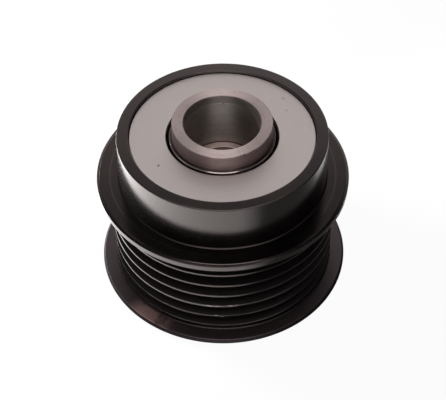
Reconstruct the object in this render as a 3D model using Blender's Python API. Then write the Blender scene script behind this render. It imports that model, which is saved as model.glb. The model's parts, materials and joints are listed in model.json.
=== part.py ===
"""Overrunning alternator pulley with six V-grooves, modelled in metres with +Z up.

The pulley stands on its front flange, with its axis on Z and its origin at the centre of the front face.
The far end, at the top, is the rear: the hub stands out of it and takes the alternator's shaft.
Inside, a nine-roller one-way clutch sits between two needle bearings, closed by a lip seal at each end.
"""

import math

import bmesh
import bpy
from mathutils import Matrix, Vector

MM = 0.001

# Belt track: six grooves of the standard 3.56 mm pitch between two flanges.
RIB_COUNT = 6
RIB_PITCH = 3.56 * MM
RIB_HALF_ANGLE = math.radians(20.0)
TRACK_WALL = 4.5 * MM
CREST_WIDTH = 0.46 * MM
CREST_ROUND = 0.12 * MM
GROOVE_DEPTH = 2.7 * MM
END_LAND = 1.35 * MM
FLANGE_HEIGHT = 2.9 * MM
FLANGE_ROOT_T = 1.82 * MM
FLANGE_FLARE = 0.38 * MM
EDGE_CHAMFER = 0.3 * MM

# Neck behind the rear flange, which holds the far half of the clutch unit.
NECK_WALL = 2.57 * MM
NECK_FILLET = 1.0 * MM
RECESS_SHOULDER = 2.33 * MM

# Front recess with the groove that a push-in cap snaps into.
FRONT_RECESS_DEPTH = 2.6 * MM
FRONT_SHOULDER = 1.7 * MM
CAP_GROOVE_DEPTH = 0.4 * MM
CAP_GROOVE_WIDTH = 0.9 * MM
CAP_GROOVE_FROM_FACE = 0.9 * MM

# Rear washer, let into the neck.
WASHER_T = 1.0 * MM
WASHER_EDGE_GAP = 0.25 * MM
WASHER_HOLE_GAP = 1.0 * MM
WASHER_SINK = 0.65 * MM
WASHER_EDGE_BREAK = 0.15 * MM

# Hub: stepped bore, threaded middle and a toothed socket for the fitting tool.
SHAFT_BORE_R = 8.5 * MM
SHAFT_BORE_DEPTH = 14.2 * MM
HUB_WALL = 3.09 * MM
NOSE_STEP = 0.48 * MM
HUB_PROUD = 3.15 * MM
HUB_SETBACK = 1.5 * MM
LEDGE_WIDTH = 2.3 * MM
THREAD_LEAD_IN = 1.1 * MM
THREAD_LENGTH = 13.4 * MM
THREAD_RELIEF = 1.1 * MM
SOCKET_TEETH = 33
SOCKET_LENGTH = 8.0 * MM
SOCKET_STEP = 0.5 * MM
SOCKET_TOOTH_HEIGHT = 0.8 * MM
HUB_CHAMFER = 0.35 * MM

# Clutch unit: inner ring, rolling elements, cages and outer race.
INNER_RING_WALL = 1.81 * MM
RACE_WALL = 1.5 * MM
RACE_LIP_T = 1.0 * MM
RACE_LIP_HEIGHT = 1.5 * MM
RACE_BEND = 0.5 * MM
NEEDLE_COUNT = 14
NEEDLE_R = 1.5 * MM
NEEDLE_LENGTH = 5.8 * MM
CLUTCH_COUNT = 9
CLUTCH_ROLLER_EXTRA_R = 0.25 * MM
CLUTCH_ROLLER_LENGTH = 7.8 * MM
RAMP_ANGLE = math.radians(6.0)
CAGE_RIM = 0.9 * MM
CAGE_TO_RACE = 0.55 * MM
SPRING_SPACE = 2.3 * MM
SPRING_T = 0.2 * MM
SPRING_WIDTH = 4.4 * MM
SPRING_SPAN = 1.7 * MM
SPRING_TAPER = 0.25 * MM
SPRING_TAIL = 0.4 * MM

# Lip seals.
SEAL_LENGTH = 2.6 * MM
SEAL_CASE = 2.6 * MM
SEAL_WEB = 0.9 * MM
SEAL_LIP_GAP = 0.2 * MM
SEAL_LIP_BASE = 1.1 * MM
SEAL_LIP_LEAN = 1.0 * MM
SEAL_LIP_POINT = 0.36 * MM

# Clearances between neighbours.
PRESS_GAP = 0.2 * MM
SEAT_GAP = 0.3 * MM
RUNNING_GAP = 0.1 * MM
POCKET_GAP = 0.15 * MM
POCKET_OVERCUT = 2.0 * MM
END_PLAY = 0.2 * MM

# Facets round each turned piece.
RING_STEPS = 44
HUB_STEPS = 2 * SOCKET_TEETH
RACE_STEPS = 36
CAGE_STEPS = 3 * NEEDLE_COUNT
INNER_RING_STEPS = 6 * CLUTCH_COUNT
ROLLER_SIDES = 12

# Radii, from the shaft outwards.
HUB_R = SHAFT_BORE_R + HUB_WALL
NOSE_R = HUB_R - NOSE_STEP
THREAD_CORE_R = SHAFT_BORE_R - LEDGE_WIDTH
RELIEF_R = THREAD_CORE_R + THREAD_RELIEF
SOCKET_TIP_R = RELIEF_R + SOCKET_STEP
SOCKET_ROOT_R = SOCKET_TIP_R + SOCKET_TOOTH_HEIGHT
INNER_RING_BORE_R = HUB_R + PRESS_GAP
INNER_RING_R = INNER_RING_BORE_R + INNER_RING_WALL
NEEDLE_CIRCLE_R = INNER_RING_R + RUNNING_GAP + NEEDLE_R
RACE_BORE_R = NEEDLE_CIRCLE_R + NEEDLE_R + RUNNING_GAP
RACE_R = RACE_BORE_R + RACE_WALL
CLUTCH_ROLLER_R = NEEDLE_R + CLUTCH_ROLLER_EXTRA_R
CLUTCH_CIRCLE_R = RACE_BORE_R - RUNNING_GAP - CLUTCH_ROLLER_R
RAMP_FLAT_R = CLUTCH_CIRCLE_R * math.cos(RAMP_ANGLE) - CLUTCH_ROLLER_R - RUNNING_GAP
CAGE_INNER_R = INNER_RING_R + CAGE_TO_RACE
CAGE_OUTER_R = RACE_BORE_R - CAGE_TO_RACE
RING_BORE_R = RACE_R + PRESS_GAP
RECESS_R = RING_BORE_R + RECESS_SHOULDER
NECK_R = RECESS_R + NECK_WALL
FRONT_RECESS_R = RING_BORE_R + FRONT_SHOULDER
CREST_R = RING_BORE_R + TRACK_WALL + GROOVE_DEPTH
FLANGE_R = CREST_R + FLANGE_HEIGHT
WASHER_R = RECESS_R - WASHER_EDGE_GAP
WASHER_HOLE_R = HUB_R + WASHER_HOLE_GAP

# Heights, from the front face to the rear.
TRACK_LENGTH = RIB_COUNT * RIB_PITCH - CREST_WIDTH + 2 * END_LAND
REAR_FLANGE_Z = 2 * FLANGE_ROOT_T + TRACK_LENGTH
FRONT_SEAL_Z = FRONT_RECESS_DEPTH + SEAT_GAP
RACE_Z = FRONT_SEAL_Z + SEAL_LENGTH + SEAT_GAP
NEEDLE_CAGE_LENGTH = NEEDLE_LENGTH + 2 * (CAGE_RIM + POCKET_GAP)
CLUTCH_CAGE_LENGTH = CLUTCH_ROLLER_LENGTH + 2 * (CAGE_RIM + POCKET_GAP)
FRONT_CAGE_Z = RACE_Z + RACE_LIP_T + END_PLAY
CLUTCH_CAGE_Z = FRONT_CAGE_Z + NEEDLE_CAGE_LENGTH + END_PLAY
REAR_CAGE_Z = CLUTCH_CAGE_Z + CLUTCH_CAGE_LENGTH + END_PLAY
RACE_END_Z = REAR_CAGE_Z + NEEDLE_CAGE_LENGTH + END_PLAY + RACE_LIP_T
REAR_SEAL_Z = RACE_END_Z + SEAT_GAP
RECESS_FLOOR_Z = REAR_SEAL_Z + SEAL_LENGTH
WASHER_Z = RECESS_FLOOR_Z + SEAT_GAP
WASHER_TOP_Z = WASHER_Z + WASHER_T
NECK_TOP_Z = WASHER_TOP_Z + WASHER_SINK
HUB_TOP_Z = NECK_TOP_Z + HUB_PROUD
LEDGE_Z = HUB_TOP_Z - SHAFT_BORE_DEPTH
THREAD_END_Z = LEDGE_Z - THREAD_LENGTH
SOCKET_END_Z = HUB_SETBACK + SOCKET_LENGTH

SHARP_ANGLE = math.radians(35.0)


def clear_scene():
    """Start from an empty scene."""
    for old in list(bpy.data.objects):
        bpy.data.objects.remove(old, do_unlink=True)


def finish(name, colour, roughness, metallic):
    """A plain surface finish: linear colour, roughness and how metallic it is."""
    material = bpy.data.materials.new(name)
    material.use_nodes = True
    shader = material.node_tree.nodes["Principled BSDF"]
    shader.inputs["Base Color"].default_value = (*colour, 1.0)
    shader.inputs["Roughness"].default_value = roughness
    shader.inputs["Metallic"].default_value = metallic
    material.diffuse_color = (*colour, 1.0)
    return material


def axis_marker(name, parent=None):
    """An empty on the pulley's axis that carries the pieces of one moving body."""
    marker = bpy.data.objects.new(name, None)
    bpy.context.collection.objects.link(marker)
    marker.parent = parent
    return marker


def piece_mesh(name, bm, material):
    """A mesh with its faces pointing out, smooth on its round faces, in one finish."""
    bmesh.ops.recalc_face_normals(bm, faces=bm.faces)
    mesh = bpy.data.meshes.new(name)
    bm.to_mesh(mesh)
    bm.free()
    mesh.shade_smooth()
    mesh.set_sharp_from_angle(angle=SHARP_ANGLE)
    mesh.materials.append(material)
    return mesh


def place(name, mesh, parent, location=(0.0, 0.0, 0.0), turn=0.0):
    """Put a mesh in the scene as a named piece of its body, moved out and turned about Z."""
    piece = bpy.data.objects.new(name, mesh)
    bpy.context.collection.objects.link(piece)
    piece.parent = parent
    piece.location = location
    piece.rotation_euler = (0.0, 0.0, turn)
    return piece


def cut(piece, cutter_name, bm):
    """Take the cutter's shape out of a piece; the cutter stays as a hidden wire guide."""
    bmesh.ops.recalc_face_normals(bm, faces=bm.faces)
    mesh = bpy.data.meshes.new(cutter_name)
    bm.to_mesh(mesh)
    bm.free()
    cutter = bpy.data.objects.new(cutter_name, mesh)
    bpy.context.collection.objects.link(cutter)
    cutter.parent = piece
    cutter.hide_render = True
    cutter.display_type = "WIRE"
    boolean = piece.modifiers.new(cutter_name, "BOOLEAN")
    boolean.operation = "DIFFERENCE"
    boolean.solver = "EXACT"
    boolean.object = cutter


def place_turned(name, section, steps, material, parent):
    """A piece turned from one section, in its place on the axis."""
    return place(name, piece_mesh(name, turned(section, steps), material), parent)


def turned(section, steps):
    """Spin a closed section of (radius, height) points once round the Z axis."""
    bm = bmesh.new()
    points = [bm.verts.new((radius, 0.0, height)) for radius, height in section]
    for first, second in zip(points, points[1:] + points[:1]):
        bm.edges.new((first, second))
    bmesh.ops.spin(
        bm,
        geom=bm.verts[:] + bm.edges[:],
        cent=(0.0, 0.0, 0.0),
        axis=(0.0, 0.0, 1.0),
        angle=2.0 * math.pi,
        steps=steps,
        use_merge=True,
    )
    return bm


def reshape_band(bm, old_r, low, high, radius_at):
    """Give every point of one turned band, between two heights, a radius that follows its angle."""
    tolerance = 0.001 * MM
    for vert in bm.verts:
        radius = math.hypot(vert.co.x, vert.co.y)
        in_band = low - tolerance < vert.co.z < high + tolerance
        if in_band and abs(radius - old_r) < tolerance:
            stretch = radius_at(math.atan2(vert.co.y, vert.co.x)) / radius
            vert.co.x *= stretch
            vert.co.y *= stretch


def around(count):
    """Evenly spaced angles round the axis, one for each copy."""
    return [2.0 * math.pi * k / count for k in range(count)]


def polar(radius, angle, height):
    """A place on a circle round the Z axis."""
    return Vector((radius * math.cos(angle), radius * math.sin(angle), height))


def arc(centre, radius, start_deg, end_deg, steps):
    """Points of a round stretch of a section, both ends included."""
    angles = [math.radians(start_deg + (end_deg - start_deg) * k / steps) for k in range(steps + 1)]
    return [(centre[0] + radius * math.cos(a), centre[1] + radius * math.sin(a)) for a in angles]


def rib_section():
    """The belt track from rear to front: six V-grooves with blunt, slightly rounded crests.

    Each flank leans by the rib's half angle, so the groove's floor is what the two flanks leave.
    """
    mouth = RIB_PITCH - CREST_WIDTH
    flank_run = GROOVE_DEPTH * math.tan(RIB_HALF_ANGLE)
    round_run = CREST_ROUND * math.tan(RIB_HALF_ANGLE)
    first_mouth_z = REAR_FLANGE_Z - FLANGE_ROOT_T - END_LAND
    points = []
    for k in range(RIB_COUNT):
        rear_z = first_mouth_z - k * RIB_PITCH
        front_z = rear_z - mouth
        points += [
            (CREST_R, rear_z + CREST_ROUND),
            (CREST_R - CREST_ROUND, rear_z - round_run),
            (CREST_R - GROOVE_DEPTH, rear_z - flank_run),
            (CREST_R - GROOVE_DEPTH, front_z + flank_run),
            (CREST_R - CREST_ROUND, front_z + round_run),
            (CREST_R, front_z - CREST_ROUND),
        ]
    return points


def ring_section():
    """The pulley ring's section: neck, rear flange, belt track, front flange, front recess and bore."""
    c = EDGE_CHAMFER
    rear_rim_z = REAR_FLANGE_Z - FLANGE_ROOT_T + FLANGE_FLARE
    front_rim_z = FLANGE_ROOT_T - FLANGE_FLARE
    groove_rear_z = CAP_GROOVE_FROM_FACE + CAP_GROOVE_WIDTH
    neck = [(RECESS_R + c, NECK_TOP_Z), (NECK_R - c, NECK_TOP_Z), (NECK_R, NECK_TOP_Z - c)]
    foot = arc((NECK_R + NECK_FILLET, REAR_FLANGE_Z + NECK_FILLET), NECK_FILLET, 180.0, 270.0, 3)
    rear_flange = [
        (FLANGE_R - c, REAR_FLANGE_Z),
        (FLANGE_R, REAR_FLANGE_Z - c),
        (FLANGE_R, rear_rim_z),
        (CREST_R, REAR_FLANGE_Z - FLANGE_ROOT_T),
    ]
    front_flange = [
        (CREST_R, FLANGE_ROOT_T),
        (FLANGE_R, front_rim_z),
        (FLANGE_R, c),
        (FLANGE_R - c, 0.0),
    ]
    front_recess = [
        (FRONT_RECESS_R + c, 0.0),
        (FRONT_RECESS_R, c),
        (FRONT_RECESS_R, CAP_GROOVE_FROM_FACE),
        (FRONT_RECESS_R + CAP_GROOVE_DEPTH, CAP_GROOVE_FROM_FACE),
        (FRONT_RECESS_R + CAP_GROOVE_DEPTH, groove_rear_z),
        (FRONT_RECESS_R, groove_rear_z),
        (FRONT_RECESS_R, FRONT_RECESS_DEPTH),
    ]
    bore = [
        (RING_BORE_R, FRONT_RECESS_DEPTH),
        (RING_BORE_R, RECESS_FLOOR_Z),
        (RECESS_R, RECESS_FLOOR_Z),
        (RECESS_R, NECK_TOP_Z - c),
    ]
    return neck + foot + rear_flange + rib_section() + front_flange + front_recess + bore


def washer_section():
    """A flat ring with its outer and inner edges just broken."""
    b = WASHER_EDGE_BREAK
    return [
        (WASHER_HOLE_R, WASHER_Z),
        (WASHER_R, WASHER_Z),
        (WASHER_R, WASHER_TOP_Z - b),
        (WASHER_R - b, WASHER_TOP_Z),
        (WASHER_HOLE_R + b, WASHER_TOP_Z),
        (WASHER_HOLE_R, WASHER_TOP_Z - b),
    ]


def race_section():
    """A drawn cup: a sleeve bent inwards to a lip at each end, which keeps the cages in."""
    lip_r = RACE_BORE_R - RACE_LIP_HEIGHT
    return [
        (RACE_R - RACE_BEND, RACE_Z),
        (RACE_R, RACE_Z + RACE_BEND),
        (RACE_R, RACE_END_Z - RACE_BEND),
        (RACE_R - RACE_BEND, RACE_END_Z),
        (lip_r, RACE_END_Z),
        (lip_r, RACE_END_Z - RACE_LIP_T),
        (RACE_BORE_R, RACE_END_Z - RACE_LIP_T),
        (RACE_BORE_R, RACE_Z + RACE_LIP_T),
        (lip_r, RACE_Z + RACE_LIP_T),
        (lip_r, RACE_Z),
    ]


def seal_section(inner_z, outward):
    """A lip seal's section; outward is +1 for the rear seal and -1 for the front one.

    The case fits the ring's bore, a web closes the outer end, and the lip leans in to the hub.
    """
    case_r = RING_BORE_R - PRESS_GAP
    lip_r = HUB_R + SEAL_LIP_GAP
    web = SEAL_LENGTH - SEAL_WEB
    points = [
        (case_r, 0.0),
        (case_r, SEAL_LENGTH),
        (lip_r + SEAL_LIP_BASE, SEAL_LENGTH),
        (lip_r, web),
        (lip_r + SEAL_LIP_POINT, web - SEAL_LIP_LEAN),
        (lip_r + SEAL_LIP_POINT + SEAL_LIP_BASE, web),
        (case_r - SEAL_CASE, web),
        (case_r - SEAL_CASE, 0.0),
    ]
    return [(radius, inner_z + outward * height) for radius, height in points]


def hub_section():
    """The hub's section: nose, seat, toothed socket, relief, thread core, ledge and shaft bore."""
    c = HUB_CHAMFER
    return [
        (NOSE_R - c, HUB_TOP_Z),
        (NOSE_R, HUB_TOP_Z - c),
        (NOSE_R, WASHER_TOP_Z),
        (HUB_R, WASHER_TOP_Z),
        (HUB_R, HUB_SETBACK + c),
        (HUB_R - c, HUB_SETBACK),
        (SOCKET_ROOT_R + c, HUB_SETBACK),
        (SOCKET_ROOT_R, HUB_SETBACK + c),
        (SOCKET_ROOT_R, SOCKET_END_Z),
        (RELIEF_R, SOCKET_END_Z),
        (RELIEF_R, THREAD_END_Z),
        (THREAD_CORE_R, THREAD_END_Z),
        (THREAD_CORE_R, LEDGE_Z - THREAD_LEAD_IN),
        (THREAD_CORE_R + THREAD_LEAD_IN, LEDGE_Z),
        (SHAFT_BORE_R, LEDGE_Z),
        (SHAFT_BORE_R, HUB_TOP_Z - c),
        (SHAFT_BORE_R + c, HUB_TOP_Z),
    ]


def socket_radius(angle):
    """V-shaped teeth: the root radius on every second facet edge and the tip radius between."""
    step = round(angle * HUB_STEPS / (2.0 * math.pi))
    return SOCKET_ROOT_R if step % 2 == 0 else SOCKET_TIP_R


def ramp_radius(angle):
    """The inner ring's outside at the clutch: round, less one flat ramp for each roller.

    A flat is nearest the axis at the ramp angle past its roller, so the space narrows the other way.
    """
    reach = INNER_RING_R
    for roller_angle in around(CLUTCH_COUNT):
        off = math.remainder(angle - roller_angle - RAMP_ANGLE, 2.0 * math.pi)
        if abs(off) < 0.5 * math.pi:
            reach = min(reach, RAMP_FLAT_R / math.cos(off))
    return reach


def inner_ring_section():
    """The inner ring's section: a race for the needles at each end and the ramp band between."""
    ramp_end_z = CLUTCH_CAGE_Z + CLUTCH_CAGE_LENGTH
    return [
        (INNER_RING_BORE_R, RACE_Z),
        (INNER_RING_BORE_R, RACE_END_Z),
        (INNER_RING_R, RACE_END_Z),
        (INNER_RING_R, ramp_end_z + 0.5 * END_PLAY),
        (INNER_RING_R, ramp_end_z),
        (INNER_RING_R, CLUTCH_CAGE_Z),
        (INNER_RING_R, CLUTCH_CAGE_Z - 0.5 * END_PLAY),
        (INNER_RING_R, RACE_Z),
    ]


def cage_section(low_z, length):
    """A cage's plain section, halfway between the inner ring and the race."""
    return [
        (CAGE_INNER_R, low_z),
        (CAGE_OUTER_R, low_z),
        (CAGE_OUTER_R, low_z + length),
        (CAGE_INNER_R, low_z + length),
    ]


def pocket_blocks(count, before, after, circle_r, low_z, length):
    """Straight-walled blocks round the axis, one through each pocket.

    before and after are the pocket's widths on the two sides of its roller's centre.
    """
    bm = bmesh.new()
    through = CAGE_OUTER_R - CAGE_INNER_R + 2.0 * POCKET_OVERCUT
    size = (through, before + after, length)
    centre = (circle_r, 0.5 * (after - before), low_z + 0.5 * length)
    for angle in around(count):
        turn = Matrix.Rotation(angle, 4, "Z")
        block = turn @ Matrix.Translation(centre) @ Matrix.Diagonal((*size, 1.0))
        bmesh.ops.create_cube(bm, size=1.0, matrix=block)
    return bm


def roller_blank(radius, length):
    """A needle or roller standing on its own axis, its lower end at zero height."""
    bm = bmesh.new()
    bmesh.ops.create_cone(
        bm,
        cap_ends=True,
        segments=ROLLER_SIDES,
        radius1=radius,
        radius2=radius,
        depth=length,
        matrix=Matrix.Translation((0.0, 0.0, 0.5 * length)),
    )
    return bm


def spring_ribbon():
    """A leaf spring's sheet, bent to a hairpin in plan and drawn up to its width.

    Local X points away from the axis and local Y from the roller to the cage bar behind the spring.
    """
    bar_y = CLUTCH_ROLLER_R + SPRING_SPACE - POCKET_GAP - SPRING_T
    roller_y = CLUTCH_ROLLER_R + POCKET_GAP + SPRING_T
    reach = 0.5 * SPRING_SPAN
    plan = [
        (-reach, bar_y),
        (reach, bar_y),
        (reach - SPRING_TAPER, 0.5 * (bar_y + roller_y)),
        (0.0, roller_y),
        (SPRING_TAPER - reach, roller_y + SPRING_TAIL),
    ]
    bm = bmesh.new()
    low = [bm.verts.new((x, y, 0.0)) for x, y in plan]
    high = [bm.verts.new((x, y, SPRING_WIDTH)) for x, y in plan]
    for k in range(len(plan) - 1):
        bm.faces.new((low[k], low[k + 1], high[k + 1], high[k]))
    return bm


def build_pulley(body, black_oxide, ground_steel, zinc_plate, black_rubber):
    """The pieces that turn with the belt: ring, outer race, rear washer and the two seals."""
    place_turned("pulley_ring", ring_section(), RING_STEPS, black_oxide, body)
    place_turned("outer_race", race_section(), RACE_STEPS, ground_steel, body)
    place_turned("rear_washer", washer_section(), RING_STEPS, zinc_plate, body)
    rear_seal = seal_section(REAR_SEAL_Z, 1.0)
    place_turned("rear_seal", rear_seal, RACE_STEPS, black_rubber, body)
    front_seal = seal_section(FRONT_SEAL_Z + SEAL_LENGTH, -1.0)
    place_turned("front_seal", front_seal, RACE_STEPS, black_rubber, body)


def build_hub(body, machined_steel, ground_steel):
    """The hub with its toothed socket, and the inner ring pressed on it with its nine ramps."""
    hub = turned(hub_section(), HUB_STEPS)
    socket_start_z = HUB_SETBACK + HUB_CHAMFER
    reshape_band(hub, SOCKET_ROOT_R, socket_start_z, SOCKET_END_Z, socket_radius)
    place("hub", piece_mesh("hub", hub, machined_steel), body)
    inner_ring = turned(inner_ring_section(), INNER_RING_STEPS)
    ramp_end_z = CLUTCH_CAGE_Z + CLUTCH_CAGE_LENGTH
    reshape_band(inner_ring, INNER_RING_R, CLUTCH_CAGE_Z, ramp_end_z, ramp_radius)
    inner_ring_mesh = piece_mesh("clutch_inner_ring", inner_ring, ground_steel)
    place("clutch_inner_ring", inner_ring_mesh, body)


def build_clutch(body, glass_nylon, ground_steel, spring_steel):
    """The one-way clutch on the inner ring: a cage, nine rollers and a leaf spring behind each."""
    section = cage_section(CLUTCH_CAGE_Z, CLUTCH_CAGE_LENGTH)
    cage = place_turned("clutch_cage", section, CAGE_STEPS, glass_nylon, body)
    pockets = pocket_blocks(
        CLUTCH_COUNT,
        CLUTCH_ROLLER_R + POCKET_GAP,
        CLUTCH_ROLLER_R + SPRING_SPACE,
        CLUTCH_CIRCLE_R,
        CLUTCH_CAGE_Z + CAGE_RIM,
        CLUTCH_ROLLER_LENGTH + 2 * POCKET_GAP,
    )
    cut(cage, "clutch_pocket_guide", pockets)
    roller_z = CLUTCH_CAGE_Z + CAGE_RIM + POCKET_GAP
    spring_z = roller_z + 0.5 * (CLUTCH_ROLLER_LENGTH - SPRING_WIDTH)
    clutch_roller_blank = roller_blank(CLUTCH_ROLLER_R, CLUTCH_ROLLER_LENGTH)
    roller_mesh = piece_mesh("clutch_roller", clutch_roller_blank, ground_steel)
    spring_mesh = piece_mesh("clutch_spring", spring_ribbon(), spring_steel)
    for k, angle in enumerate(around(CLUTCH_COUNT), start=1):
        roller_place = polar(CLUTCH_CIRCLE_R, angle, roller_z)
        place(f"clutch_roller_{k:02d}", roller_mesh, body, roller_place, angle)
        spring_place = polar(CLUTCH_CIRCLE_R, angle, spring_z)
        spring = place(f"clutch_spring_{k:02d}", spring_mesh, body, spring_place, angle)
        sheet = spring.modifiers.new("sheet", "SOLIDIFY")
        sheet.thickness = SPRING_T
        sheet.offset = 0.0


def build_needle_bearing(side, body, low_z, glass_nylon, ground_steel):
    """A support bearing: its cage and the needles that roll in it, each on its own axis."""
    section = cage_section(low_z, NEEDLE_CAGE_LENGTH)
    cage = place_turned(f"{side}_needle_cage", section, CAGE_STEPS, glass_nylon, body)
    half = NEEDLE_R + POCKET_GAP
    pocket_z = low_z + CAGE_RIM
    pocket_length = NEEDLE_LENGTH + 2 * POCKET_GAP
    pockets = pocket_blocks(NEEDLE_COUNT, half, half, NEEDLE_CIRCLE_R, pocket_z, pocket_length)
    cut(cage, f"{side}_pocket_guide", pockets)
    needle_blank = roller_blank(NEEDLE_R, NEEDLE_LENGTH)
    needle_mesh = piece_mesh(f"{side}_needle", needle_blank, ground_steel)
    for k, angle in enumerate(around(NEEDLE_COUNT), start=1):
        needle_place = polar(NEEDLE_CIRCLE_R, angle, pocket_z + POCKET_GAP)
        place(f"{side}_needle_{k:02d}", needle_mesh, body, needle_place, angle)


def main():
    clear_scene()
    black_oxide = finish("black_oxide_steel", (0.012, 0.010, 0.010), 0.28, 0.35)
    zinc_plate = finish("dull_zinc_plate", (0.36, 0.33, 0.32), 0.55, 0.45)
    machined_steel = finish("machined_steel", (0.36, 0.28, 0.26), 0.38, 0.85)
    ground_steel = finish("ground_steel", (0.52, 0.52, 0.53), 0.18, 1.0)
    spring_steel = finish("spring_steel", (0.32, 0.33, 0.36), 0.30, 1.0)
    glass_nylon = finish("glass_filled_nylon", (0.09, 0.075, 0.05), 0.55, 0.0)
    black_rubber = finish("black_rubber", (0.012, 0.012, 0.012), 0.65, 0.0)

    pulley = axis_marker("pulley_axis")
    hub = axis_marker("hub_axis", pulley)
    front_cage = axis_marker("front_cage_axis", pulley)
    rear_cage = axis_marker("rear_cage_axis", pulley)

    build_pulley(pulley, black_oxide, ground_steel, zinc_plate, black_rubber)
    build_hub(hub, machined_steel, ground_steel)
    build_clutch(hub, glass_nylon, ground_steel, spring_steel)
    build_needle_bearing("front", front_cage, FRONT_CAGE_Z, glass_nylon, ground_steel)
    build_needle_bearing("rear", rear_cage, REAR_CAGE_Z, glass_nylon, ground_steel)


main()
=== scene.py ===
# %% [markdown]
# # An overrunning alternator pulley
#
# The part stands on its front flange, as it would be laid on a bench: a black ring with six V-grooves between
# two flanges, a smooth neck, a dull grey washer let into the neck, and a machined hub with a stepped bore.
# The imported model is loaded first. It fixes every size and place, and the surfaces made below are laid over it.

import json
import math

import bpy
import numpy as np
from mathutils import Matrix, Vector


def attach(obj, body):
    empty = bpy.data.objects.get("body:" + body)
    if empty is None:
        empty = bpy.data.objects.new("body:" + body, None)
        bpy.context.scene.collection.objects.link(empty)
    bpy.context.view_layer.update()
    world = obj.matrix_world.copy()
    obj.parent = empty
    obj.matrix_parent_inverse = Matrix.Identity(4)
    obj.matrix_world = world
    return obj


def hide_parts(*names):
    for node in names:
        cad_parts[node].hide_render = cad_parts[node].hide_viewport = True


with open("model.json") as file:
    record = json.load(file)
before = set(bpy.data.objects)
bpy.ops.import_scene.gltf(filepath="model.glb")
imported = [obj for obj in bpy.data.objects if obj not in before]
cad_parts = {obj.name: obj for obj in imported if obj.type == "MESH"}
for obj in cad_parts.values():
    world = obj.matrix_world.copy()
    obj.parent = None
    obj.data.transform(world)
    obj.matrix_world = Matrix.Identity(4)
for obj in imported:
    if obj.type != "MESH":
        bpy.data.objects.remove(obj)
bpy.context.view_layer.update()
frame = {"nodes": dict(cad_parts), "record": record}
MM = 0.001

# %% [markdown]
# ## The camera
#
# A round part shows where the camera stands: each circle is an ellipse, and how flat it is gives the angle. One
# camera that fits the flanges, the neck, the washer and the bore together looks down by 47 degrees from 29 cm
# away, measured from the middle of the part's foot. So the eye is placed by numbers, and the view is built from
# three directions: right, up and back.

# %% Place the camera
EYE = Vector((-0.00002, -0.19214, 0.22298))
LOOK_DOWN = math.radians(46.94)
ROLL = math.radians(-0.64)
FOCAL_LENGTH = 97.07
SENSOR_WIDTH = 36.0
NEAREST_SEEN = 0.005


def place_camera():
    """The eye looks along +Y and down; right and up are then turned together by the roll."""
    back = Vector((0.0, -math.cos(LOOK_DOWN), math.sin(LOOK_DOWN)))
    up = Vector((0.0, math.sin(LOOK_DOWN), math.cos(LOOK_DOWN)))
    right = Vector((1.0, 0.0, 0.0))
    rolled_right = math.cos(ROLL) * right + math.sin(ROLL) * up
    rolled_up = math.cos(ROLL) * up - math.sin(ROLL) * right
    turn = Matrix((rolled_right, rolled_up, back)).transposed().to_4x4()
    data = bpy.data.cameras.new("camera")
    data.sensor_width = SENSOR_WIDTH
    data.lens = FOCAL_LENGTH
    data.clip_start = NEAREST_SEEN
    camera = bpy.data.objects.new("camera", data)
    camera.matrix_world = Matrix.Translation(EYE) @ turn
    bpy.context.collection.objects.link(camera)
    bpy.context.scene.camera = camera


place_camera()
bpy.context.scene.view_settings.view_transform = "Standard"
print("camera", round(EYE.length / MM), "mm from the origin")

# %% [markdown]
# ## A way to write finishes
#
# A finish is a graph of nodes, and most of it is arithmetic: a mask times a noise plus a constant. Written with
# calls that arithmetic is hard to read, so a small class wraps a socket and gives it Python's own operators.
# Every other node comes from one method, which sets the node's settings first and then its inputs.


# %% Sockets that can be added and multiplied
class Value:
    """One output of a node. Adding, subtracting or multiplying makes a Math node."""

    def __init__(self, graph, socket):
        self.graph = graph
        self.socket = socket

    def math(self, operation, *others):
        return self.graph.node("ShaderNodeMath", {"operation": operation}, dict(enumerate((self, *others))))

    def __add__(self, other):
        return self.math("ADD", other)

    def __sub__(self, other):
        return self.math("SUBTRACT", other)

    def __mul__(self, other):
        return self.math("MULTIPLY", other)

    def __rsub__(self, other):
        return self.graph.node("ShaderNodeMath", {"operation": "SUBTRACT"}, {0: other, 1: self})

    __radd__ = __add__


class Graph:
    """The nodes of one finish, of the floor or of the world."""

    def __init__(self, tree):
        self.tree = tree
        tree.nodes.clear()

    def node(self, kind, settings=None, inputs=None, output=0):
        """Add a node, set its settings and then its inputs, and hand back one of its outputs."""
        made = self.tree.nodes.new(kind)
        for name, value in (settings or {}).items():
            setattr(made, name, value)
        for key, value in (inputs or {}).items():
            if isinstance(value, Value):
                self.tree.links.new(value.socket, made.inputs[key])
            else:
                made.inputs[key].default_value = value
        return Value(self, made.outputs[output]) if len(made.outputs) else None

    def blend(self, mask, low, high):
        """A colour that goes from low to high as the mask goes from 0 to 1."""
        return self.node("ShaderNodeMix", {"data_type": "RGBA"}, {0: mask, 6: low, 7: high}, output=2)

    def step(self, value, start, end):
        """0 up to start and 1 from end on, with a smooth run between; start may be the larger."""
        inputs = {"Value": value, "From Min": start, "From Max": end}
        return self.node("ShaderNodeMapRange", {"interpolation_type": "SMOOTHSTEP"}, inputs)


print("graph helpers ready")

# %% [markdown]
# ## Floor and light
#
# The part stands on a white sweep that reads as plain white, yet it needs a lit floor round it. Light Path tells
# the rays apart: a camera ray sees an almost even white, a mirror ray gets a hundredth of that white over a lit
# pale surface, and every other ray sees the pale surface alone, on which the part throws its shadow.
#
# Nearly every surface here is a mirror of some kind, so the picture is made by what stands round the part. The
# upright walls look down and show the floor: bright at the left, where the low lamp lights it, and dark in the
# shadow at the right. The level faces look up and back at a card, bright low down and gone by 52 degrees. The
# small fillets turn through every direction, and each takes its bright line from a dim band all round, a patch
# low in front or the ceiling. The two strong lamps are hidden from glossy rays, or they would show as spots.

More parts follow.
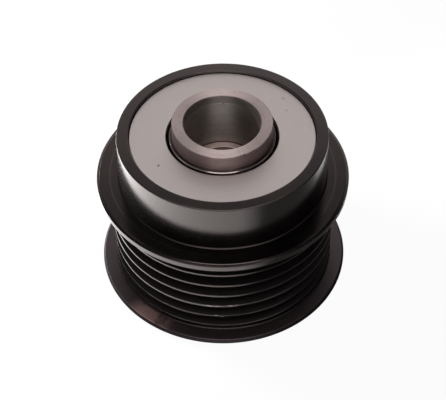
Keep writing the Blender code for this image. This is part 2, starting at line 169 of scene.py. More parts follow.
# %% Lay the floor
FLOOR_SIZE = 3.0
FLOOR_DROP = 0.00005
FLOOR_WHITE_SHARE = 0.96
FLOOR_GLOW_SHARE = 0.01
PAPER = (0.85, 0.85, 0.85, 1.0)
WHITE = (1.0, 1.0, 1.0, 1.0)


def lay_floor():
    """A large square, a hair below the part's front face."""
    half = 0.5 * FLOOR_SIZE
    corners = [(-half, -half, 0.0), (half, -half, 0.0), (half, half, 0.0), (-half, half, 0.0)]
    mesh = bpy.data.meshes.new("floor")
    mesh.from_pydata(corners, [], [(0, 1, 2, 3)])
    floor = bpy.data.objects.new("floor", mesh)
    floor.location.z = -FLOOR_DROP
    bpy.context.collection.objects.link(floor)
    material = bpy.data.materials.new("white_sweep")
    material.use_nodes = True
    graph = Graph(material.node_tree)
    seen = graph.node("ShaderNodeLightPath", output="Is Camera Ray")
    mirrored = graph.node("ShaderNodeLightPath", output="Is Glossy Ray")
    through = graph.node("ShaderNodeLightPath", output="Is Transmission Ray")
    share = seen * FLOOR_WHITE_SHARE + mirrored * FLOOR_GLOW_SHARE + through * FLOOR_WHITE_SHARE
    paper = graph.node("ShaderNodeBsdfDiffuse", inputs={"Color": PAPER})
    white = graph.node("ShaderNodeEmission", inputs={"Color": WHITE, "Strength": 1.0})
    surface = graph.node("ShaderNodeMixShader", inputs={0: share, 1: paper, 2: white})
    graph.node("ShaderNodeOutputMaterial", inputs={"Surface": surface})
    mesh.materials.append(material)


lay_floor()
print("floor", FLOOR_SIZE, "m square")

# %% Light the room
MATTE_LEVEL = 0.03
DARK_LEVEL = 0.04
CARD_LEVEL = 0.95
BAND_LEVEL = 0.5
CEILING_LEVEL = 1.3
PATCH_LEVEL = 1.8


def light_room():
    """The world: white to the camera, dim to matte surfaces, and to glossy ones a room with four bright places.

    x, y and z are the parts of a ray's direction, so z is the sine of its height. The card behind is full up to 35
    degrees and gone by 52. The dim band goes round the front and the sides up to 20 degrees and is stronger at the
    left. The patch in front is narrow and lies between 12 and 41 degrees, and the ceiling starts at 60.
    """
    world = bpy.data.worlds.new("studio")
    bpy.context.scene.world = world
    world.use_nodes = True
    graph = Graph(world.node_tree)
    direction = graph.node("ShaderNodeTexCoord", output="Generated")
    x, y, z = (graph.node("ShaderNodeSeparateXYZ", inputs={0: direction}, output=axis) for axis in "XYZ")
    sideways = x.math("ABSOLUTE")
    card = graph.step(z, 0.79, 0.57) * graph.step(sideways, 0.62, 0.3) * graph.step(y, 0.1, 0.4)
    band = graph.step(z, 0.4, 0.25) * graph.step(y, 0.3, -0.2) * (0.75 - x * 0.25)
    ceiling = graph.step(z, 0.84, 0.9) * graph.step(y, 0.2, 0.05) * graph.step(sideways, 0.5, 0.3)
    patch = graph.step(z, 0.2, 0.35) * graph.step(z, 0.66, 0.56)
    patch = patch * graph.step(y, -0.5, -0.7) * graph.step(sideways, 0.5, 0.35)
    mirrored_level = DARK_LEVEL + card * CARD_LEVEL + band * BAND_LEVEL
    mirrored_level = mirrored_level + ceiling * CEILING_LEVEL + patch * PATCH_LEVEL
    seen = graph.node("ShaderNodeLightPath", output="Is Camera Ray")
    mirrored = graph.node("ShaderNodeLightPath", output="Is Glossy Ray")
    through = graph.node("ShaderNodeLightPath", output="Is Transmission Ray")
    level = seen + through + mirrored * mirrored_level + (1.0 - seen - through - mirrored) * MATTE_LEVEL
    light = graph.node("ShaderNodeBackground", inputs={"Color": WHITE, "Strength": level})
    graph.node("ShaderNodeOutputWorld", inputs={"Surface": light})


def aim_lamp(name, data, place, toward, mirrored):
    """Put a lamp at a place, facing back along toward; mirrored says if glossy surfaces show it."""
    lamp = bpy.data.objects.new(name, data)
    lamp.matrix_world = Matrix.Translation(place) @ toward.to_track_quat("Z", "Y").to_matrix().to_4x4()
    lamp.visible_camera = False
    lamp.visible_glossy = mirrored
    bpy.context.collection.objects.link(lamp)


def direction_to(azimuth, elevation):
    """A direction given as on a compass and a height above the horizon, in degrees."""
    az, el = math.radians(azimuth), math.radians(elevation)
    return Vector((math.cos(el) * math.cos(az), math.cos(el) * math.sin(az), math.sin(el)))


def hang_lamp(name, azimuth, elevation, distance, size, level, mirrored=False):
    """A square lamp aimed at the part; level is how bright it makes a level white surface, with 1 for white.

    A square lamp of power P at distance d lights a surface that faces it by P / (pi * d * d).
    """
    toward = direction_to(azimuth, elevation)
    data = bpy.data.lights.new(name, "AREA")
    data.size = size
    data.energy = level * math.pi**2 * distance**2 / toward.z
    aim_lamp(name, data, toward * distance, toward, mirrored)


SPOT_RADIUS = 0.02


def hang_spot(name, azimuth, elevation, distance, aim, angle, level):
    """A spot whose edge is all soft, aimed at a place in mm; level is the brightness at its middle.

    A spot of power P at distance d lights a surface that faces it by P / (4 * pi * d * d).
    """
    toward = direction_to(azimuth, elevation)
    data = bpy.data.lights.new(name, "SPOT")
    data.spot_size = math.radians(angle)
    data.spot_blend = 1.0
    data.shadow_soft_size = SPOT_RADIUS
    data.energy = level * 4.0 * math.pi**2 * distance**2 / toward.z
    aim_lamp(name, data, Vector(aim) * MM + toward * distance, toward, False)


light_room()
hang_lamp("left_lamp", azimuth=152, elevation=24, distance=0.16, size=0.05, level=1.47)
hang_lamp("top_lamp", azimuth=90, elevation=66, distance=0.7, size=0.25, level=0.06, mirrored=True)
hang_spot("right_spot", azimuth=40, elevation=50, distance=0.4, aim=(75, 45, 0), angle=10, level=1.4)

# %% [markdown]
# ## Turned surfaces
#
# Almost every piece here came off a lathe, so its surface is one closed section carried round the axis. A lathe
# leaves no perfectly sharp corner: each edge is rounded a little, and that sliver is what catches the light. So a
# section is listed as sharp corners with a fillet each, and one function works out all the points together.


# %% Round the corners of a section
MOST_OF_ROOM = 0.3


def rounded(corners, arc_points=5, hold=0.1):
    """A closed section in mm, made from rows of (radius, height, fillet).

    With u the direction into a corner and v the direction out of it, the fillet starts at the corner less
    u * fillet * tan(turn / 2). Its point at angle a is start + fillet * (sin(a) * u + (1 - cos(a)) * n), where n
    is square to u on the side to which the section turns. One more point on each straight side, a hold away from
    the fillet but no more than a share of the room, keeps the flat beside it flat. The second result is 1 on the
    fillets of outer edges and 0 elsewhere.
    """
    corners = np.asarray(corners, dtype=float)
    here, fillet = corners[:, :2], corners[:, 2:3]
    into = here - np.roll(here, 1, axis=0)
    out_of = np.roll(here, -1, axis=0) - here
    length_in = np.linalg.norm(into, axis=1, keepdims=True)
    length_out = np.linalg.norm(out_of, axis=1, keepdims=True)
    u, v = into / length_in, out_of / length_out
    cross = u[:, 0] * v[:, 1] - u[:, 1] * v[:, 0]
    turn = np.arctan2(cross, (u * v).sum(axis=1))[:, None]
    side = np.stack((-u[:, 1], u[:, 0]), axis=1) * np.sign(turn)
    reach = fillet * np.tan(0.5 * np.abs(turn))
    room_in = length_in - reach - np.roll(reach, 1, axis=0)
    room_out = length_out - reach - np.roll(reach, -1, axis=0)
    angle = np.linspace(0.0, 1.0, arc_points) * np.abs(turn)
    start = here - u * reach
    arc = start[:, None] + fillet[:, :, None] * (
        np.sin(angle)[..., None] * u[:, None] + (1.0 - np.cos(angle))[..., None] * side[:, None]
    )
    first = start - u * np.minimum(hold, MOST_OF_ROOM * room_in)
    last = here + v * (reach + np.minimum(hold, MOST_OF_ROOM * room_out))
    points = np.concatenate((first[:, None], arc, last[:, None]), axis=1)
    outward = np.sign(turn) == np.sign(turn.sum())
    edge = np.zeros(points.shape[:2])
    edge[:, 1:-1] = outward
    return points.reshape(-1, 2), edge.reshape(-1)


square_bar = [(1, 0, 0.1), (2, 0, 0.1), (2, 1, 0.1), (1, 1, 0.1)]
print("a square bar's section has", len(rounded(square_bar)[0]), "points")


# %% Carry a section round the axis
def skin(name, grid, edge):
    """A closed skin over a grid of points: rows run round the section and columns round the axis.

    Each face joins a point, its neighbour across, the one below that and the one below the first. The sum of
    a . (b x c) over the faces is positive when they point outwards, and the faces are turned over if it isn't.
    """
    rows, columns = grid.shape[:2]
    here = np.arange(rows * columns).reshape(rows, columns)
    below, across = np.roll(here, -1, axis=0), np.roll(here, -1, axis=1)
    faces = np.stack((here, across, np.roll(below, -1, axis=1), below), axis=-1).reshape(-1, 4)
    points = grid.reshape(-1, 3)
    a, b, c, d = (points[faces[:, k]] for k in range(4))
    volume = (a * np.cross(b, c)).sum() + (a * np.cross(c, d)).sum()
    if volume < 0.0:
        faces = faces[:, ::-1]
    mesh = bpy.data.meshes.new(name)
    mesh.vertices.add(len(points))
    mesh.vertices.foreach_set("co", (points * MM).ravel())
    mesh.loops.add(faces.size)
    mesh.loops.foreach_set("vertex_index", faces.ravel().astype(np.int32))
    mesh.polygons.add(len(faces))
    mesh.polygons.foreach_set("loop_start", np.arange(len(faces), dtype=np.int32) * 4)
    mesh.update(calc_edges=True)
    mesh.shade_smooth()
    attribute = mesh.attributes.new("edge", "FLOAT", "POINT")
    attribute.data.foreach_set("value", np.broadcast_to(edge, (rows, columns)).ravel().astype(np.float32))
    return mesh


def turned(name, section, edge, steps):
    """The section's radius carried round: x = r cos(angle), y = r sin(angle), z = height."""
    angle = np.linspace(0.0, 2.0 * np.pi, steps, endpoint=False)
    radius, height = section[:, :1], section[:, 1:]
    grid = np.stack(
        (radius * np.cos(angle), radius * np.sin(angle), np.broadcast_to(height, (len(section), steps))),
        axis=-1,
    )
    return skin(name, grid, edge[:, None])


def fit(name, mesh, material, body, slot, *nodes):
    """Put a finished surface in the scene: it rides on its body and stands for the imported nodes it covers."""
    piece = bpy.data.objects.new(name, mesh)
    bpy.context.collection.objects.link(piece)
    mesh.materials.append(material)
    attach(piece, body)
    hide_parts(*nodes)
    print(name, len(mesh.polygons) * 2, "triangles, in place of", ", ".join(nodes))


# %% [markdown]
# ## Marks that every turned piece shares
#
# All the finishes below are painted in the part's own coordinates, in millimetres. From x and y comes the radius,
# and a noise read along radius and height alone gives the fine rings that a cutting tool leaves.


# %% Coordinates and patterns in millimetres
class Finish(Graph):
    """A material in the making, with the part's coordinates in mm at hand."""

    def __init__(self, name):
        self.material = bpy.data.materials.new(name)
        self.material.use_nodes = True
        super().__init__(self.material.node_tree)
        place = self.node("ShaderNodeTexCoord", output="Object")
        self.place = self.node("ShaderNodeVectorMath", {"operation": "SCALE"}, {0: place, "Scale": 1.0 / MM})
        self.x = self.node("ShaderNodeSeparateXYZ", inputs={0: self.place}, output="X")
        self.y = self.node("ShaderNodeSeparateXYZ", inputs={0: self.place}, output="Y")
        self.z = self.node("ShaderNodeSeparateXYZ", inputs={0: self.place}, output="Z")
        self.radius = (self.x * self.x + self.y * self.y).math("SQRT")

    def attribute(self, name):
        return self.node("ShaderNodeAttribute", {"attribute_name": name}, output="Fac")

    def join(self, x, y, z):
        return self.node("ShaderNodeCombineXYZ", inputs={0: x, 1: y, 2: z})

    def noise(self, size, detail=3.0, roughness=0.5, at=None):
        """Cloudy noise around 0.5 whose blobs are about size mm wide."""
        inputs = {"Vector": at or self.place, "Scale": 1.0 / size, "Detail": detail, "Roughness": roughness}
        return self.node("ShaderNodeTexNoise", inputs=inputs)

    def rings(self, pitch, waver=0.02):
        """Turning marks: noise read along radius and height only, with a little of x and y so that rings fade."""
        at = self.join(self.radius + self.x * waver, self.y * waver, self.z)
        return self.noise(pitch, detail=2.0, roughness=0.7, at=at)

    def spot(self, x, y, z, size):
        """1 in the middle of a round mark at a place and 0 from size mm away."""
        away = self.node(
            "ShaderNodeVectorMath", {"operation": "DISTANCE"}, {0: self.place, 1: (x, y, z)}, output="Value"
        )
        return self.step(away, size, 0.3 * size)

    def bump(self, height):
        """Height in mm over the surface."""
        return self.node("ShaderNodeBump", inputs={"Strength": 1.0, "Distance": MM, "Height": height})

    def coat(self, **sockets):
        """Close the graph with a Principled BSDF; a socket's name is written with _ for a space."""
        inputs = {name.replace("_", " "): value for name, value in sockets.items()}
        surface = self.node("ShaderNodeBsdfPrincipled", inputs=inputs)
        self.node("ShaderNodeOutputMaterial", inputs={"Surface": surface})
        return self.material


def tone(red, green, blue):
    """A colour as a screen shows it, 0 to 255, as the linear values that a shader needs."""
    levels = np.array((red, green, blue)) / 255.0
    linear = np.where(levels <= 0.04045, levels / 12.92, ((levels + 0.055) / 1.055) ** 2.4)
    return (*linear.tolist(), 1.0)


print("mid grey is", round(tone(128, 128, 128)[0], 3))

# %% [markdown]
# ## The black ring
#
# The ring is one steel turning: neck, rear flange, six grooves and front flange. The neck tapers by one degree,
# a small step and a shallow bevel run round the rear flange, and both edges of the front flange are taken off. The
# grooves are of the standard pitch, and their crests stay narrow flats.
#
# The black is an oxide with oil in it, so it is a dark mirror and not a paint. It is made as a metal of a dark,
# slightly brown colour: smooth on neck and flanges, dull in the grooves, and worn paler in a few places. Painted
# light is in it too: a pale patch on the front flange is a painted highlight, and the neck's foot, the lowest
# crests and the front flange's rim are darkened with painted shade. Masks in radius and height tell the places
# apart, so one finish serves the whole turning.

# %% The ring's section
ROUND_STEPS = 256
RIB_COUNT = 6
RIB_PITCH = 3.56
CREST_R = 25.7
CREST_WIDTH = 0.46
CREST_FILLET = 0.06
GROOVE_DEPTH = 2.7
GROOVE_FILLET = 0.3
FLANK = math.tan(math.radians(20.0))
FIRST_MOUTH = 23.87


def groove_corners():
    """Corners of the grooves from the rear one down: each flank leans by 20 degrees from crest to floor."""
    rear = FIRST_MOUTH - RIB_PITCH * np.arange(RIB_COUNT)
    front = rear - (RIB_PITCH - CREST_WIDTH)
    run = GROOVE_DEPTH * FLANK
    floor_r = CREST_R - GROOVE_DEPTH
    heights = np.stack((rear, rear - run, front + run, front), axis=1).ravel()
    radii = np.tile((CREST_R, floor_r, floor_r, CREST_R), RIB_COUNT)
    fillets = np.tile((CREST_FILLET, GROOVE_FILLET, GROOVE_FILLET, CREST_FILLET), RIB_COUNT)
    return np.stack((radii, heights, fillets), axis=1).tolist()


NECK = [(20.83, 39.15, 0.2), (23.5, 39.15, 0.18), (23.68, 27.4, 0.3)]
REAR_FLANGE = [
    (28.0, 27.4, 0.02), (28.1, 27.28, 0.02), (28.7, 27.14, 0.08), (28.7, 25.8, 0.12), (CREST_R, 25.42, 0.2),
]
FRONT_FLANGE = [
    (CREST_R, 1.82, 0.2), (28.66, 1.6, 0.08), (29.15, 0.95, 0.08), (29.15, 0.77, 0.08), (28.5, 0.0, 0.1),
]
FRONT_RECESS = [
    (20.2, 0.0, 0.25), (20.2, 0.9, 0.06), (20.6, 0.9, 0.06), (20.6, 1.8, 0.06), (20.2, 1.8, 0.06),
    (20.2, 2.6, 0.2), (18.5, 2.6, 0.25),
]
REAR_RECESS = [(18.5, 37.2, 0.25), (20.83, 37.2, 0.15)]
ring_corners = NECK + REAR_FLANGE + groove_corners() + FRONT_FLANGE + FRONT_RECESS + REAR_RECESS
ring_section, ring_edge = rounded(ring_corners)
print("ring section", len(ring_section), "points")


# %% The ring's finish
def black_oxide():
    """Black oxide: a dark conductor, mirror-like on neck and flanges, dull in the grooves, rubbed at edges, with a
    painted highlight and painted shade in a few places.

    crest is 1 on the crests of the grooves, rear_rim on the rear flange's rim, lower on the front flange, wall on
    its rim, and foot on the fillet at the neck's foot. Painted shade darkens the wall, the foot and the lowest
    crests.
    """
    f = Finish("black_oxide")
    cloud = f.noise(6.0, detail=4.0, roughness=0.6)
    turning = f.rings(0.45)
    groove = f.step(f.radius, 25.62, 25.5) * f.step(f.z, 25.7, 25.4) * f.step(f.z, 1.5, 1.8)
    groove = groove * f.step(f.radius, 21.0, 22.0)
    neck = f.step(f.radius, 24.2, 23.9) * f.step(f.z, 39.1, 38.9) * f.step(f.z, 27.0, 27.3)
    crest = f.step(f.radius, 25.5, 25.62) * f.step(f.radius, 25.95, 25.8)
    lower = f.step(f.z, 1.84, 1.78) * f.step(f.radius, 25.75, 26.0) * f.step(f.z, 0.2, 0.6)
    rear_rim = f.step(f.radius, 28.4, 28.5) * f.step(f.z, 27.1, 26.8) * f.step(f.z, 10.0, 20.0)
    bright = neck.math("MAXIMUM", crest).math("MAXIMUM", rear_rim)
    deep_black = tone(52, 46, 46)
    colour = f.blend(f.step(cloud, 0.4, 0.7), tone(84, 76, 76), tone(88, 78, 76))
    colour = f.blend(bright, colour, tone(118, 112, 110))
    # Painted shade: the fillet at the neck's foot and the crests nearest the front flange are darkened, to dim the
    # light lines they would mirror.
    foot = f.step(f.z, 27.9, 27.75) * f.step(f.z, 27.3, 27.42) * f.step(f.radius, 24.2, 24.1)
    colour = f.blend(crest * 0.6 + foot, colour, tone(88, 80, 78))
    colour = f.blend(crest * f.step(f.z, 7.5, 6.8) * 0.7 + foot * 0.5, colour, deep_black)
    colour = f.blend(groove, colour, deep_black)
    colour = f.blend(lower, colour, f.blend(cloud, tone(82, 74, 76), tone(98, 86, 86)))
    # Painted highlight: a pale patch on the front flange, at the front left, stands in for a soft reflection
    # there.
    pale_mark = f.spot(-17.5, -22.0, 1.2, 7.0) * f.step(f.noise(2.5, detail=4.0), 0.25, 0.55)
    colour = f.blend(lower * pale_mark, colour, tone(196, 160, 156))
    # Painted shade: the front flange's outer rim, next to the floor, is darkened as if it mirrored the part's
    # shadow.
    wall = f.step(f.z, 1.52, 1.46) * f.step(f.radius, 28.5, 28.6)
    colour = f.blend(wall, colour, tone(52, 46, 48))
    rubbed = f.attribute("edge") * f.step(f.noise(1.6, detail=5.0, roughness=0.7), 0.4, 0.8)
    colour = f.blend(rubbed * crest * 0.2, colour, tone(140, 132, 128))
    along = f.noise(1.0, detail=3.0, at=f.join(f.x, f.y * 0.2, f.z * 4.0))
    scuff = f.spot(-2.4, -25.5, 9.7, 2.6) + f.spot(1.5, -25.5, 9.9, 2.2) + f.spot(-1.0, -25.6, 6.3, 2.0)
    colour = f.blend(scuff * crest * f.step(along, 0.5, 0.62), colour, tone(186, 178, 176))
    roughness = 0.14 + neck * 0.04 + groove * 0.38 + lower * 0.3 + (cloud - 0.5) * 0.05
    height = (turning - 0.5) * 0.0004
    return f.coat(Base_Color=colour, Roughness=roughness, Metallic=0.97, Normal=f.bump(height))


fit(
    "ring_surface", turned("ring_surface", ring_section, ring_edge, ROUND_STEPS), black_oxide(),
    "pulley", "black_oxide_steel", "pulley_ring",
)

# %% [markdown]
# ## The rear washer
#
# A stamped steel disc, dull grey from its zinc coat. It is still metal, but so rough that the room is spread to
# one even grey over it: the detail is a fine grain, faint clouds and a few dark specks.


# %% Washer surface and finish
def dull_zinc():
    """Dull zinc: an even warm grey with a fine grain and faint clouds, and a few specks."""
    f = Finish("dull_zinc")
    grain = f.noise(0.5, detail=3.0)
    cloud = f.noise(7.0, detail=4.0, roughness=0.55)
    colour = f.blend(cloud, tone(210, 199, 196), tone(220, 209, 207))
    specks = f.spot(-13.86, -9.39, 38.5, 0.38) * 0.85 + f.spot(13.98, 11.73, 38.5, 0.6) * 0.25
    specks = specks + f.spot(14.49, 7.7, 38.5, 0.5) * 0.25
    colour = f.blend(specks, colour, tone(70, 62, 60))
    height = (grain - 0.5) * 0.004
    roughness = 0.55 + (cloud - 0.5) * 0.1 + (grain - 0.5) * 0.08
    return f.coat(Base_Color=colour, Roughness=roughness, Metallic=1.0, Normal=f.bump(height))


WASHER = [(12.59, 37.5, 0.06), (20.68, 37.5, 0.06), (20.68, 38.5, 0.12), (12.59, 38.5, 0.12)]
fit(
    "washer_surface", turned("washer_surface", *rounded(WASHER), ROUND_STEPS), dull_zinc(),
    "pulley", "dull_plate", "rear_washer",
)

# %% [markdown]
# ## The lip seals
#
# Behind the washer and at the front lies a moulded rubber seal whose lip leans in to the hub. Only a dark ring
# of the rear one shows. The same section serves both, with the front one turned over.


# %% Seal surfaces and rubber
def moulded_rubber():
    """Black rubber: matte, with the faint texture of the mould and a film of grease at the lip."""
    f = Finish("moulded_rubber")
    texture = f.noise(0.25, detail=3.0)
    cloud = f.noise(4.0)
    greasy = f.step(f.radius, 13.6, 12.2) * f.step(cloud, 0.3, 0.7)
    colour = f.blend(cloud, tone(20, 19, 19), tone(32, 30, 29))
    roughness = 0.62 + (texture - 0.5) * 0.2 - greasy * 0.3
    return f.coat(Base_Color=colour, Roughness=roughness, Normal=f.bump((texture - 0.5) * 0.01))


SEAL_STEPS = 128
LIP_R = 11.79
MOULD_FILLET = 0.09


def seal_section(inner_height, outward):
    """The seal's section from its case to its lip; outward is 1 at the rear and -1 at the front."""
    corners = [
        (18.3, 0.0), (18.3, 2.6), (LIP_R + 1.1, 2.6), (LIP_R, 1.7), (LIP_R + 0.36, 0.7), (LIP_R + 1.46, 1.7),
        (15.7, 1.7), (15.7, 0.0),
    ]
    return rounded([(radius, inner_height + outward * height, MOULD_FILLET) for radius, height in corners])


rubber = moulded_rubber()
fit(
    "rear_seal_surface", turned("rear_seal_surface", *seal_section(34.6, 1.0), SEAL_STEPS), rubber,
    "pulley", "seal_rubber", "rear_seal",
)
fit(
    "front_seal_surface", turned("front_seal_surface", *seal_section(5.5, -1.0), SEAL_STEPS), rubber,
    "pulley", "seal_rubber", "front_seal",
)

# %% [markdown]
# ## The hub
#
# The hub is turned from bare steel. From the rear it is a bore for the shaft, a ledge for the shaft's shoulder, a
# threaded hole, and at the front end a socket with 33 teeth for the fitting tool. Thread and teeth depend on the
# angle as well as the height, so here the radius is a function of both, worked out on one grid.
#
# The marks that the tool leaves run round the axis, and such a surface spreads a reflection across them: up and
# down in the bore, and along the radius on the face. That is what an anisotropic shader does. A steady value
# turned by a quarter gives the upright bright band in the bore, which stays in place when the hub turns.

# %% The hub's radius at every height and angle
THREAD_PITCH = 1.5
THREAD_CORE_R = 6.2
THREAD_DEPTH = 0.8
THREAD_START = 14.7
ROWS_PER_TURN = 12
LEDGE = 28.1
LEAD_IN = 0.65
TEETH = 33
TOOTH_HEIGHT = 0.8
SOCKET_R = 8.6
SOCKET_END = 9.5
HUB_STEPS = 8 * TEETH
HUB_SHARP_ANGLE = math.radians(34.0)

HUB_SECTION = [
    (7.3, THREAD_START, 0.05), (7.3, SOCKET_END, 0.05), (SOCKET_R, SOCKET_END, 0.05), (SOCKET_R, 1.85, 0.05),
    (8.95, 1.5, 0.08), (11.24, 1.5, 0.12), (11.59, 1.85, 0.12), (11.59, 37.5, 0.1), (11.86, 37.7, 0.06),
    (11.86, 38.3, 0.06), (11.7, 38.5, 0.06), (11.18, 38.5, 0.1), (11.18, 42.26, 0.08), (11.06, 42.38, 0.08),
    (8.72, 42.38, 0.06), (8.6, 42.26, 0.06), (8.56, 40.2, 0.02), (8.5, 40.1, 0.02), (8.5, LEDGE, 0.15),
    (THREAD_CORE_R + LEAD_IN, LEDGE, 0.08),
]


def thread_rows():
    """Heights from just below the ledge down to the relief, 12 to a turn."""
    count = int(round((LEDGE - THREAD_START) / THREAD_PITCH * ROWS_PER_TURN))
    return np.linspace(LEDGE - 0.05, THREAD_START + 0.02, count)


def thread_radius(height, angle):
    """A 60-degree thread that climbs by its pitch each turn, opened by the lead-in cone at the ledge.

    t is how far a point lies up its turn, from 0 to 1. The distance from the middle, 1 - |2t - 1|, makes a V, and
    clipping it leaves the flats at the core and at the root. The cone's radius grows with height near the ledge.
    """
    t = np.mod(height / THREAD_PITCH - angle / (2.0 * np.pi), 1.0)
    vee = 1.0 - np.abs(2.0 * t - 1.0)
    thread = THREAD_CORE_R + THREAD_DEPTH * np.clip((vee - 0.25) / 0.6, 0.0, 1.0)
    cone = THREAD_CORE_R + LEAD_IN - (LEDGE - height)
    return np.maximum(thread, cone)


def tooth_radius(angle):
    """The socket's wall: teeth that stand in from the root, with narrow flats.

    t is how far a point lies across its tooth, and 1 - |2t - 1| makes a V that is clipped as in the thread.
    """
    t = np.mod(angle * TEETH / (2.0 * np.pi), 1.0)
    vee = 1.0 - np.abs(2.0 * t - 1.0)
    return SOCKET_R - TOOTH_HEIGHT * np.clip((vee - 0.15) / 0.7, 0.0, 1.0)


def hub_grid():
    """The turned section with the thread's rows after it; the socket's rows follow the teeth."""
    section, edge = rounded(HUB_SECTION)
    rows = thread_rows()
    angle = np.linspace(0.0, 2.0 * np.pi, HUB_STEPS, endpoint=False)
    height = np.concatenate((section[:, 1], rows))[:, None]
    radius = np.repeat(np.concatenate((section[:, 0], rows * 0.0))[:, None], HUB_STEPS, axis=1)
    threaded = slice(len(section), None)
    radius[threaded] = thread_radius(height[threaded], angle)
    in_socket = (np.abs(radius[:, 0] - SOCKET_R) < 0.05) & (height[:, 0] < SOCKET_END)
    radius[in_socket] = tooth_radius(angle)
    heights = np.broadcast_to(height, radius.shape)
    edge = np.concatenate((edge, rows * 0.0))[:, None]
    return np.stack((radius * np.cos(angle), radius * np.sin(angle), heights), axis=-1), edge


hub_points, hub_edge = hub_grid()
print("hub grid", hub_points.shape[:2])


# %% The hub's finish
def machined_steel():
    """Bare turned steel, warm and satin: rings on the faces, finer marks in the bore, dark in the corners.

    top is 1 on the face, mouth on the bore's first 2 mm, collar on the shoulder in the washer, ledge on the step
    for the shaft, deep below it, and corner where oil and shadow gather. The ledge's near-white colour is partly
    painted light, and deep and corner are painted shade, corner with oil as well.
    """
    f = Finish("machined_steel")
    cloud = f.noise(3.5, detail=4.0, roughness=0.6)
    smear = f.noise(1.1, detail=3.0, roughness=0.65)
    coarse = f.rings(0.35, waver=0.01)
    fine = f.rings(0.08, waver=0.01)
    grit = f.noise(0.2, detail=3.0)
    top = f.step(f.z, 42.0, 42.2) * f.step(f.radius, 8.5, 8.7)
    bore = f.step(f.radius, 9.2, 8.9) * f.step(f.z, 28.2, 28.4) * (1.0 - top)
    mouth = bore * f.step(f.z, 40.0, 40.15)
    collar = f.step(f.radius, 11.68, 11.72) * f.step(f.z, 37.6, 37.9)
    deep = f.step(f.z, 28.04, 27.9)
    colour = f.blend(cloud, tone(168, 146, 144), tone(186, 166, 164))
    colour = f.blend(top, colour, f.blend(cloud, tone(186, 168, 164), tone(206, 188, 185)))
    colour = f.blend(f.step(coarse, 0.4, 0.75) * 0.25, colour, tone(130, 108, 106))
    colour = f.blend(bore * 0.85, colour, f.blend(coarse, tone(220, 211, 204), tone(184, 176, 168)))
    colour = f.blend(mouth * 0.5, colour, tone(128, 120, 116))
    colour = f.blend(f.step(smear, 0.5, 0.8) * 0.3, colour, tone(120, 98, 94))
    colour = f.blend(collar, colour, tone(196, 182, 178))
    # Painted light, in part: the ledge's near-white colour brightens a face that lies deep in the bore, standing
    # in for a bright reflection.
    ledge = f.step(f.radius, 8.45, 8.35) * f.step(f.z, 28.0, 28.06) * (1.0 - top)
    colour = f.blend(ledge, colour, tone(252, 226, 218))
    corner = f.step(f.z, 38.85, 38.5) * f.step(f.radius, 11.7, 11.68) * f.step(f.radius, 10.95, 11.05)
    # Painted shade: deep darkens the threaded hole and the socket below the ledge.
    corner = corner + f.step(f.z, 28.55, 28.2) * f.step(f.radius, 8.3, 8.45) + deep
    colour = f.blend(corner.math("MINIMUM", 0.85), colour, tone(60, 48, 46))
    mark = f.spot(4.66, -10.1, 42.2, 0.35) + f.spot(0.3, 8.6, 40.07, 0.3) + f.spot(3.9, -10.35, 42.25, 0.2)
    colour = f.blend(mark * 0.8, colour, tone(52, 42, 40))
    pale_mark = f.attribute("edge") * f.step(f.radius, 10.85, 11.0) * f.step(f.z, 42.05, 42.2)
    colour = f.blend(pale_mark * f.step(smear, 0.5, 0.62), colour, tone(214, 196, 190))
    roughness = 0.36 + bore * 0.11 - collar * 0.14 + (grit - 0.5) * 0.15 + (cloud - 0.5) * 0.1
    height = (coarse - 0.5) * 0.003 + (fine - 0.5) * 0.0012 + (grit - 0.5) * 0.001
    return f.coat(
        Base_Color=colour, Roughness=roughness, Metallic=0.95, Normal=f.bump(height),
        Anisotropic=0.9, Anisotropic_Rotation=0.25,
    )


hub_mesh = skin("hub_surface", hub_points, hub_edge)
hub_mesh.set_sharp_from_angle(angle=HUB_SHARP_ANGLE)
fit("hub_surface", hub_mesh, machined_steel(), "hub", "machined_steel", "hub")

# %% [markdown]
# ## The clutch and the bearings inside
#
# The race, the inner ring, the cages, the rollers, the needles and the springs lie behind the seals. Their packed
# shapes are right, so they stay and only get their finishes: ground steel, moulded nylon and spring steel.


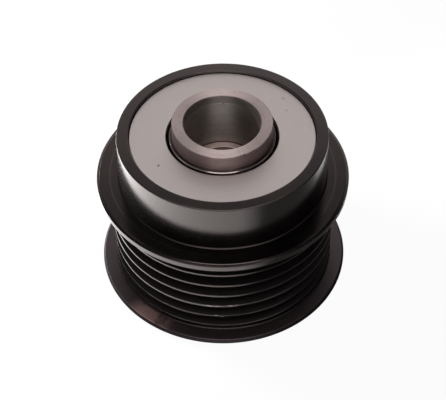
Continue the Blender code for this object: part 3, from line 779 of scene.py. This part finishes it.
# %% Finishes of the inner pieces
def ground_steel():
    """Hardened and ground: bright, with fine grinding lines, a thin film of oil and a few darker patches."""
    f = Finish("ground_steel")
    lines = f.rings(0.06, waver=0.0)
    cloud = f.noise(2.5, detail=3.0)
    colour = f.blend(cloud, tone(176, 176, 178), tone(200, 201, 204))
    film = f.step(f.noise(5.0, detail=2.0), 0.45, 0.7)
    colour = f.blend(film * 0.35, colour, tone(150, 138, 116))
    roughness = 0.2 + (lines - 0.5) * 0.16 + (1.0 - film) * 0.06
    return f.coat(Base_Color=colour, Roughness=roughness, Metallic=1.0, Normal=f.bump((lines - 0.5) * 0.002))


def glass_nylon():
    """Glass-filled nylon, amber-brown: matte, with short pale fibres in the skin."""
    f = Finish("glass_nylon")
    fibres = f.noise(0.18, detail=4.0, roughness=0.8)
    flow = f.noise(3.0, detail=2.0)
    colour = f.blend(flow, tone(86, 76, 58), tone(104, 92, 68))
    colour = f.blend(f.step(fibres, 0.6, 0.75) * 0.4, colour, tone(150, 138, 110))
    roughness = 0.5 + (fibres - 0.5) * 0.25
    return f.coat(Base_Color=colour, Roughness=roughness, Normal=f.bump((fibres - 0.5) * 0.01))


def spring_steel():
    """Rolled strip: bright with lines along its length and a faint straw tint where it was heated."""
    f = Finish("spring_strip")
    lines = f.noise(0.05, detail=2.0, at=f.join(f.x * 0.05, f.y * 0.05, f.z))
    heat = f.step(f.noise(1.5), 0.4, 0.7)
    colour = f.blend(heat * 0.5, tone(168, 170, 176), tone(164, 146, 112))
    roughness = 0.26 + (lines - 0.5) * 0.2
    return f.coat(Base_Color=colour, Roughness=roughness, Metallic=1.0, Normal=f.bump((lines - 0.5) * 0.002))


inner_finish = {"ground_steel": ground_steel(), "cage_nylon": glass_nylon(), "spring_steel": spring_steel()}
dressed = 0
for row in frame["record"]["subparts"]:
    if row["material_slot"] in inner_finish:
        node = frame["nodes"][row["node"]]
        for slot in node.material_slots:
            slot.material = inner_finish[row["material_slot"]]
        dressed += 1
print(dressed, "inner nodes finished")
